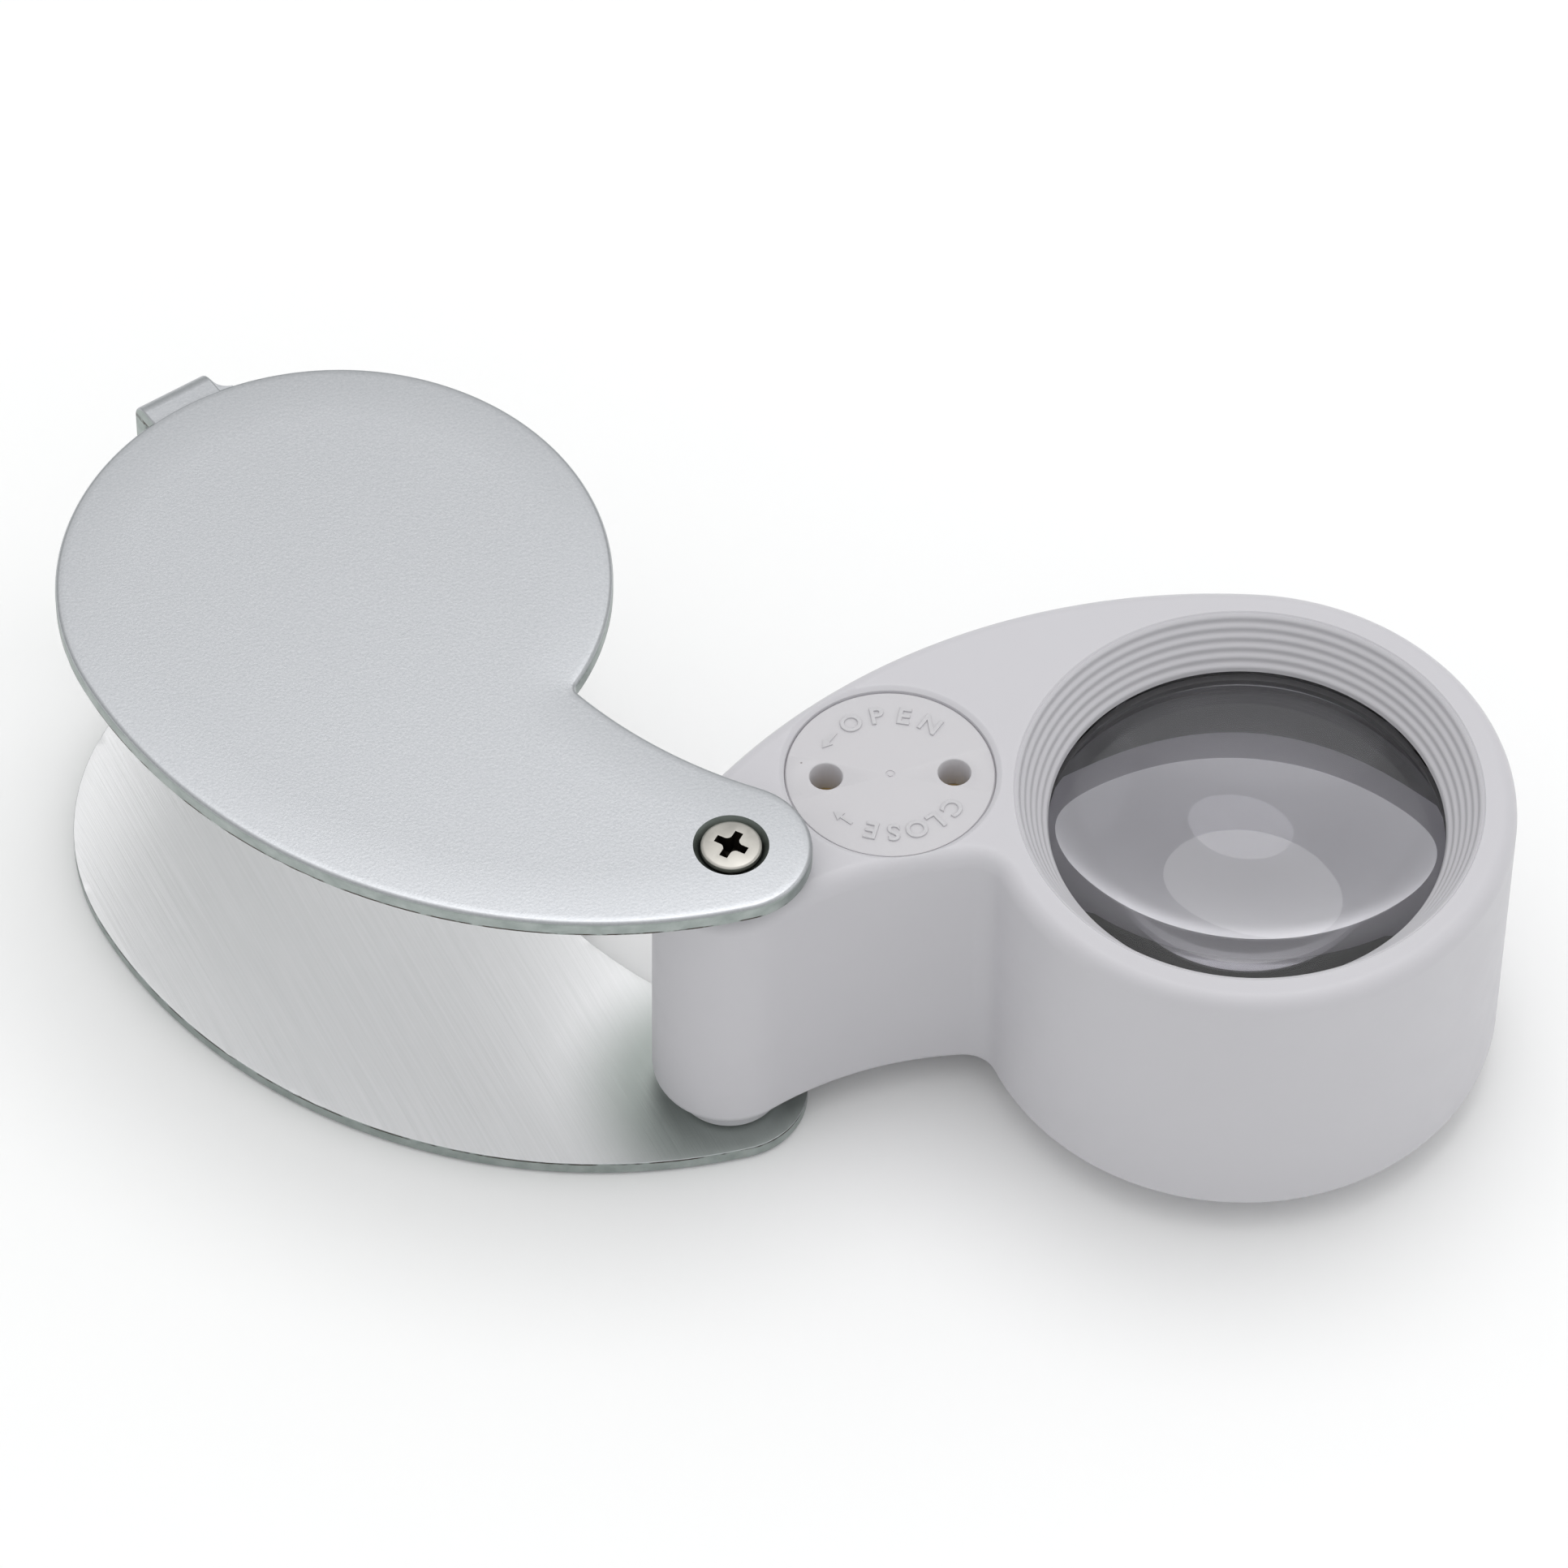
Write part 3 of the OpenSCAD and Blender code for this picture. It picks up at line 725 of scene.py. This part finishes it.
def lens_housing():
    levels = rounded_levels(BODY_Z, BODY_TOP, 0.9, 0.9, 1.1, 1.3)
    body = shift(loft("housing", rings_at_zero_inset(BODY, levels, 0.5)), PIVOT_XY)
    boss = revolve("boss", [(0, HOUSING_LOW.z), (BOSS_R - 0.2, HOUSING_LOW.z),
                            (BOSS_R, HOUSING_LOW.z + 0.2), (BOSS_R, HOUSING_HIGH.z - 0.2),
                            (BOSS_R - 0.2, HOUSING_HIGH.z), (0, HOUSING_HIGH.z)], PIVOT)
    rebate = arm_space(REBATE_INSET, REBATE_START_X, TUBE_WALL_R, BODY_Z - 1, BODY_Z + BASE_T)
    rivet_hole = drum("rivet_hole", RIVET_HOLE_R, CAVITY_TOP - 1, WELL_FLOOR + 1, CAP, 48)
    window = block("window", PIVOT_XY + SWITCH_LOW, PIVOT_XY + SWITCH_HIGH)
    cut(body, revolve("tube", funnel_profile(), LENS, 256), revolve("well", well_profile(), CAP),
        rebate, arm_cavity(), rivet_hole, lamp_hole())
    join_to(body, boss)
    cut(body, drum("bore", BORE_R, 0, COVER_H, PIVOT), window)
    smooth(body)
    return place(body, "lens_body", "body_plastic", "lens_housing")


def dome(radius, height, steps=24):
    """(radius, rise) pairs of a spherical cap from its edge to its top."""
    sphere_r = (radius * radius + height * height) / (2 * height)
    half = math.asin(radius / sphere_r)
    angles = [half * (1 - i / steps) for i in range(steps + 1)]
    return [(sphere_r * math.sin(a), sphere_r * math.cos(a) - sphere_r + height) for a in angles]


def lens_piece(name, low, high, up):
    """Lens with one domed face, which points up or down, and a flat face and rim opposite."""
    radius = (high.x - low.x) / 2
    height = high.z - low.z
    edge = height - DOME_RISE
    cap = dome(radius - LENS_BEVEL, DOME_RISE - 0.02)
    profile = [(0, 0), (radius - LENS_BEVEL, 0), (radius, LENS_BEVEL),
               (radius, edge - LENS_BEVEL * 0.3)]
    profile += [(r, edge + z) for r, z in cap]
    if not up:
        profile = [(r, height - z) for r, z in profile]
    obj = revolve(name, [(r, low.z + z) for r, z in profile], LENS, 192)
    smooth(obj)
    place(obj, "lens_body", "lens_glass", name.replace("_piece", ""))
    obj.data.materials.append(MATERIALS["lens_flat"])
    for polygon in obj.data.polygons:
        faces_up = polygon.normal.z > 0.5
        polygon.material_index = int(faces_up != up)
    return obj


# ---------------------------------------------------------------- cover

STRAP_ANGLE = -15
STRAP_REACH = 19.3
STRAP_W = 5.0
STRAP_CORNER_R = 1.2
STRAP_EDGE = 0.16
BEND_R = 1.3
LUG_R = 1.4
LUG_REACH = STRAP_REACH + 2.8
LUG_SHEET = 0.8
LUG_H = 2.4
FLAT_INSET = 0.6
SINK_R = 2.33
SINK_LOW_R = 1.35
CROWN = 0.09
CROWN_IN = 4.2
STRAP_SINK = 0.02


def plate(name, low, flip):
    """One plate: softly rounded outside, crisp and slightly burred inside, faintly crowned."""
    levels = [(FLAT_INSET, low)] + rounded_levels(low, low + SHEET, 0.05, 0.05, 0.28, 0.34)
    crown = [(CROWN_IN * t, low + SHEET) for t in (0.15, 0.3, 0.5, 0.75, 1)]
    levels = [(inset, z - crown_drop(inset) if z > low + SHEET / 2 else z)
              for inset, z in levels + crown]
    if flip:
        levels = [(inset, 2 * low + SHEET - z) for inset, z in reversed(levels)]
    rings = rings_at_zero_inset(PLATE, levels, 0.22)
    burr_z = low + (SHEET if flip else 0)
    for (inset, z), ring in zip(levels, rings):
        if inset < FLAT_INSET and abs(z - burr_z) < 0.06:
            for point in ring:
                nick(point, -1 if flip else 1)
    return loft(name, rings)


def crown_drop(inset):
    """How far the sheet's outer face lies below its middle, at a distance from the edge."""
    return CROWN * max(0, 1 - inset / CROWN_IN) ** 2


def nick(point, inward):
    """Small dents and burrs along a sheared edge."""
    rough = noise.noise(point * 2.6) + 0.6 * noise.noise(point * 7.1)
    dent = max(0.0, noise.noise(Vector((point.x, point.y, 5)) * 0.9) - 0.42)
    point.z += inward * (0.02 * max(rough, 0) + 0.35 * dent)


def strap():
    """The narrow strip with its two bends, swept as a rounded section along a U."""
    mid_r = BEND_R - SHEET / 2
    bend_x = STRAP_REACH - BEND_R
    bend_z = BEND_R + CROWN + STRAP_SINK
    root = [(PLATE.round_r - inset, SHEET / 2 + crown_drop(inset) + STRAP_SINK)
            for inset in (3.2, 2.4, 1.6, 0.8, 0)]
    bend = [math.radians(90 * i / 12) for i in range(13)]
    path = list(root)
    path += [(bend_x + mid_r * math.sin(a), bend_z - mid_r * math.cos(a)) for a in bend]
    path += [(x, COVER_H - z) for x, z in reversed(path)]
    rings = []
    edge = STRAP_EDGE
    for i, (x, z) in enumerate(path):
        before = Vector(path[max(i - 1, 0)])
        after = Vector(path[min(i + 1, len(path) - 1)])
        along = (after - before).normalized()
        out = Vector((along.y, -along.x))
        ring = []
        for across, thick, start in ((1, 1, 0), (-1, 1, 90), (-1, -1, 180), (1, -1, 270)):
            for k in range(5):
                a = math.radians(start + 90 * k / 4)
                y = across * (STRAP_W / 2 - edge) + edge * math.cos(a)
                w = thick * (SHEET / 2 - edge) + edge * math.sin(a)
                ring.append(Vector((x + w * out.x, y, z + w * out.y)))
        rings.append(ring)
    return loft("strap", rings)


def prism(name, outline, low, high, edge=0.0):
    """Upright solid over an outline, with small quarter-round edges if edge isn't 0."""
    if not edge:
        return loft(name, [[Vector((p.x, p.y, z)) for p in outline] for z in (low, high)])
    rings = []
    for inset, z in rounded_levels(low, high, edge, edge, edge, edge, 3):
        ring = []
        for i, p in enumerate(outline):
            normal = right_of((outline[(i + 1) % len(outline)] - outline[i - 1]).normalized())
            q = p - inset * normal
            ring.append(Vector((q.x, q.y, z)))
        rings.append(ring)
    return loft(name, rings)


def strap_fillet(low):
    """Small web that rounds the corner between a plate and the strap's front side."""
    r = STRAP_CORNER_R
    y = -STRAP_W / 2 - r
    x = math.sqrt((PLATE.round_r + r) ** 2 - y * y)
    inner = PLATE.round_r - 1.5
    centre = Vector((x - 0.03, y + 0.03))
    outline = [Vector((inner, -STRAP_W / 2 + 1)), Vector((inner, y))]
    outline += list(reversed(arc(centre, r, 90, 180 + bearing(centre), 0.1)))
    outline.append(Vector((centre.x, -STRAP_W / 2 + 1)))
    return prism("web", outline, low + 0.15, low + SHEET - 0.15)


def lug_outline(r, root):
    centre = Vector((LUG_REACH - LUG_R, 0))
    curve = arc(centre, r, -90, 90, 0.1)
    return [Vector((root, -r))] + curve + [centre + Vector((0, r)), Vector((root, r))]


def countersink(top):
    """Cutter for the screw's conical seat in the upper or lower plate."""
    rim = COVER_H if top else 0
    inward = -1 if top else 1
    above = 0.5
    flare = above * (SINK_R - SINK_LOW_R) / SHEET
    profile = [(0, -above), (SINK_R + flare, -above), (SINK_LOW_R, SHEET), (SINK_LOW_R, 3),
               (0, 3)]
    return revolve("hole", [(r, rim + inward * z) for r, z in profile], Vector((0, 0, 0)), 96)


def cover_matrix():
    return (Matrix.Translation(PIVOT_XY * MM)
            @ Matrix.Rotation(math.radians(OPEN_ANGLE), 4, "Z"))


def cover_shell():
    cover = plate("cover", 0, True)
    upper = plate("upper", COVER_H - SHEET, False)
    mid = COVER_H / 2
    to_strap = (Matrix.Translation(Vector((REACH, 0, 0)) * MM)
                @ Matrix.Rotation(math.radians(STRAP_ANGLE), 4, "Z"))
    lug = prism("lug", lug_outline(LUG_R, STRAP_REACH - SHEET / 2),
                mid - LUG_H / 2, mid + LUG_H / 2, 0.12)
    window = prism("window", lug_outline(LUG_R - LUG_SHEET, STRAP_REACH - 2 * SHEET),
                   mid - LUG_H / 2 - 0.01, mid + LUG_H / 2 + 0.01)
    webs = [strap_fillet(0), strap_fillet(COVER_H - SHEET)]
    band = strap()
    join_to(band, lug)
    cut(band, window)
    for piece in [band] + webs:
        transform(piece, to_strap)
    join_to(cover, band, upper, *webs)
    cut(cover, countersink(True), countersink(False))
    transform(cover, cover_matrix())
    smooth(cover)
    place(cover, "cover", "cover_metal", "cover_shell")
    for name in ("cover_edge", "cover_inside", "countersink"):
        cover.data.materials.append(MATERIALS[name])
    finish_faces(cover)
    return cover


def finish_faces(cover):
    """Gives the sheared edges and the brushed inside their own finishes, and paints the screw seats a dark shade.
    """
    for polygon in cover.data.polygons:
        centre, normal = polygon.center / MM, polygon.normal
        near_pivot = (centre.xy - PIVOT.xy).length < SINK_R + 0.05
        inside = SHEET - 0.3 < centre.z < COVER_H - SHEET + 0.3
        faces_in = normal.z * (COVER_H / 2 - centre.z) > 0
        # Slot 3 paints the countersink cones dark, as shade of the gap round the screw heads.
        if near_pivot and abs(normal.z) < 0.95:
            polygon.material_index = 3
        elif abs(normal.z) < 0.35:
            polygon.material_index = 1
        elif inside and faces_in and abs(normal.z) > 0.9:
            polygon.material_index = 2


# ---------------------------------------------------------------- screws

TOP_SINK = -0.05
BOTTOM_SINK = 0.2
HEAD_R = 1.88
SHANK_R = 1.2
SCREW_LEN = 7
CROSS_ANGLE = -39


def cross_outline(scale):
    """Cross recess with flared inner corners."""
    tip, half, flare = 1.06, 0.27, 0.36
    points = []
    for quarter in range(4):
        turn = Matrix.Rotation(math.radians(90 * quarter), 2)
        corner = Vector((half + flare, half + flare))
        local = [Vector((tip, -half)), Vector((tip, half))]
        local += arc(corner, flare, 270, 180, 0.08)
        points += [scale * (turn @ p) for p in local]
    return points


def pivot_screw(node, top):
    profile = [(0, 0), (1.68, 0), (1.79, -0.03), (1.86, -0.1), (HEAD_R, -0.2),
               (HEAD_R, -0.4), (SHANK_R, -0.4 - HEAD_R + SHANK_R), (SHANK_R, -SCREW_LEN),
               (0, -SCREW_LEN)]
    origin = Vector((0, 0, 0))
    screw = revolve(node + "_piece", profile, origin, 96)
    levels = ((1.04, 0.2), (1.0, 0.0), (0.86, -0.45), (0.5, -1.05))
    rings = [[Vector((p.x, p.y, z)) for p in cross_outline(scale)] for scale, z in levels]
    cut(screw, loft("cross", rings))
    turn = Matrix.Rotation(math.radians(CROSS_ANGLE), 4, "Z")
    if top:
        seat = Matrix.Translation(Vector((PIVOT.x, PIVOT.y, COVER_H - TOP_SINK)) * MM)
    else:
        seat = Matrix.Translation(Vector((PIVOT.x, PIVOT.y, BOTTOM_SINK)) * MM)
        seat = seat @ Matrix.Rotation(math.pi, 4, "X")
    transform(screw, seat @ turn)
    smooth(screw)
    place(screw, "cover", "screw_nickel", node)
    screw.data.materials.append(MATERIALS["screw_recess_shade"])
    # Faces inside the cross recess take the near-black material: painted shade.
    for polygon in screw.data.polygons:
        centre = polygon.center / MM
        depth = COVER_H - centre.z - TOP_SINK if top else centre.z - BOTTOM_SINK
        if (centre.xy - PIVOT.xy).length < 1.15 and 0.01 < depth < 1.2:
            polygon.material_index = 1
    return screw


# ---------------------------------------------------------------- battery cap

PIN_R = 1.0
PIN_CIRCLE_R = 3.95
PIN_ANGLE = -8.4
MARK_R = 4.55
MARK_SIZE = 1.75
MARK_RAISE = 0.07
VIEW_TURN = -12
OPEN_MARK = (("O", 122), ("P", 101), ("E", 80), ("N", 58))
CLOSE_MARK = (("C", -34), ("L", -52), ("O", -69), ("S", -87), ("E", -104))
ARROWS = ((146, 1), (-129, -1))


def battery_cap():
    top, low, radius = CAP_HIGH.z, CAP_LOW.z, (CAP_HIGH.x - CAP_LOW.x) / 2
    snug = CAP_BORE_R - 0.02
    profile = [(0, low), (radius, low), (snug, low + 0.3), (snug, top - 0.14),
               (snug - 0.05, top - 0.1), (snug - 0.07, top - 0.03), (snug - 0.13, top), (0, top)]
    cap = revolve("cap", profile, CAP, 192)
    dot = revolve("dot", [(0.16, top - 0.05), (0.3, top - 0.05), (0.3, top + 0.5),
                          (0.16, top + 0.5)], CAP, 32)
    cut(cap, dot)
    for turn in (0, 180):
        a = math.radians(PIN_ANGLE + turn)
        at = CAP + PIN_CIRCLE_R * Vector((math.cos(a), math.sin(a), 0))
        hole = revolve("hole", [(0, low - 1), (PIN_R, low - 1), (PIN_R, top - 0.16),
                                (PIN_R + 0.05, top - 0.05), (PIN_R + 0.14, top),
                                (PIN_R + 0.14, top + 1), (0, top + 1)], at, 64)
        cut(cap, hole)
    smooth(cap)
    return place(cap, "cap", "cap_plastic", "battery_cap")


def add_mark(bm, mesh, angle):
    """Adds a flat mark's mesh to bm, standing upright at that angle round the cap."""
    a = math.radians(angle + VIEW_TURN)
    spot = CAP + MARK_R * Vector((math.cos(a), math.sin(a), 0))
    spot.z = CAP_HIGH.z
    matrix = (Matrix.Translation(spot * MM)
              @ Matrix.Rotation(a - math.pi / 2, 4, "Z"))
    mesh.transform(matrix)
    bm.from_mesh(mesh)
    bpy.data.meshes.remove(mesh)


def letter_mesh(letter):
    data = bpy.data.curves.new("letter", "FONT")
    data.body = letter
    data.size = MARK_SIZE * MM
    data.align_x = "CENTER"
    data.align_y = "CENTER"
    data.extrude = MARK_RAISE * MM
    data.bevel_depth = 0.045 * MM
    data.bevel_resolution = 2
    data.offset = 0.0
    obj = bpy.data.objects.new("letter", data)
    bpy.context.scene.collection.objects.link(obj)
    depsgraph = bpy.context.evaluated_depsgraph_get()
    mesh = bpy.data.meshes.new_from_object(obj.evaluated_get(depsgraph))
    bpy.data.objects.remove(obj)
    bpy.data.curves.remove(data)
    return mesh


def arrow_mesh(direction):
    """Slim arrow that points along a circle: direction 1 is anticlockwise, -1 clockwise."""
    outline = [(-0.75, 0), (-0.15, 0.36), (-0.15, 0.1), (0.7, 0.1), (0.7, -0.1),
               (-0.15, -0.1), (-0.15, -0.36)]
    if direction < 0:
        outline = [(-x, y) for x, y in reversed(outline)]
    points = [Vector(p) for p in outline]
    obj = prism("arrow", points, -MARK_RAISE, MARK_RAISE)
    mesh = obj.data
    bpy.data.objects.remove(obj)
    return mesh


def cap_marks():
    """Raised words and arrows that show which way the cap turns."""
    bm = bmesh.new()
    for letter, angle in OPEN_MARK + CLOSE_MARK:
        add_mark(bm, letter_mesh(letter), angle)
    for angle, direction in ARROWS:
        add_mark(bm, arrow_mesh(direction), angle)
    marks = to_object("cap_marks", bm)
    smooth(marks, 50)
    return place(marks, "cap", "cap_plastic")


# ---------------------------------------------------------------- stage

TARGET = Vector((0.53, -0.25, 12.4))
DISTANCE = 602.0
AZIMUTH = math.radians(-11.984)
ELEVATION = math.radians(51.291)
ROLL = math.radians(0.949)
FOCAL = 220.3


def add_camera():
    data = bpy.data.cameras.new("camera")
    data.lens = FOCAL
    data.sensor_width = 36
    data.clip_start = 0.01
    data.clip_end = 20
    camera = bpy.data.objects.new("camera", data)
    bpy.context.scene.collection.objects.link(camera)
    right = Vector((math.cos(AZIMUTH), math.sin(AZIMUTH), 0))
    back = Vector((math.sin(AZIMUTH) * math.cos(ELEVATION),
                   -math.cos(AZIMUTH) * math.cos(ELEVATION), math.sin(ELEVATION)))
    up = back.cross(right)
    turned_right = math.cos(ROLL) * right + math.sin(ROLL) * up
    turned_up = math.cos(ROLL) * up - math.sin(ROLL) * right
    matrix = Matrix((turned_right, turned_up, back)).transposed().to_4x4()
    matrix.translation = (TARGET + DISTANCE * back) * MM
    camera.matrix_world = matrix
    bpy.context.scene.camera = camera


def add_light(name, location, size, power):
    data = bpy.data.lights.new(name, "AREA")
    data.shape = "ELLIPSE"
    data.size, data.size_y = size
    data.energy = power
    light = bpy.data.objects.new(name, data)
    bpy.context.scene.collection.objects.link(light)
    light.location = location
    direction = Vector((0, 0, 0.01)) - Vector(location)
    light.rotation_euler = direction.to_track_quat("-Z", "Y").to_euler()


def add_stage():
    bm = bmesh.new()
    bmesh.ops.create_grid(bm, x_segments=8, y_segments=8, size=2)
    floor = to_object("floor", bm)
    material, nodes, links, shader = new_material("floor")
    tone = add_noise(nodes, links, object_coords(nodes), 3, 2)
    links.new(ramp(nodes, links, tone, [(0.3, grey(0.95)), (0.7, grey(0.97))]),
              shader.inputs["Base Color"])
    shader.inputs["Roughness"].default_value = 0.9
    bpy.context.scene.view_settings.view_transform = "Standard"
    floor.data.materials.append(material)
    add_world()
    add_light("overhead", (0.14, 0.25, 0.9), (0.60, 0.42), 1.3)
    add_light("right", (0.85, -0.25, 0.45), (0.8, 0.6), 0.6)


def add_world():
    """Soft light tent: white overhead, a little darker and greener towards the horizon."""
    world = bpy.data.worlds.new("studio")
    bpy.context.scene.world = world
    world.use_nodes = True
    nodes, links = world.node_tree.nodes, world.node_tree.links
    coords = nodes.new("ShaderNodeTexCoord")
    split = nodes.new("ShaderNodeSeparateXYZ")
    links.new(coords.outputs["Generated"], split.inputs["Vector"])
    colour = ramp(nodes, links, split.outputs["Z"],
                  [(0.0, (0.24, 0.26, 0.25)), (0.3, (0.38, 0.39, 0.385)), (0.777, grey(0.58)),
                   (1.0, grey(1.0))])
    links.new(colour, nodes["Background"].inputs["Color"])
    nodes["Background"].inputs["Strength"].default_value = 1.5


# ---------------------------------------------------------------- build

dress_cad_nodes()
add_camera()
add_stage()
lens_housing()
lens_piece("eye_lens_piece", EYE_LOW, EYE_HIGH, True)
lens_piece("field_lens_piece", FIELD_LOW, FIELD_HIGH, False)
cover_shell()
pivot_screw("pivot_screw_top", True)
pivot_screw("pivot_screw_bottom", False)
battery_cap()
cap_marks()
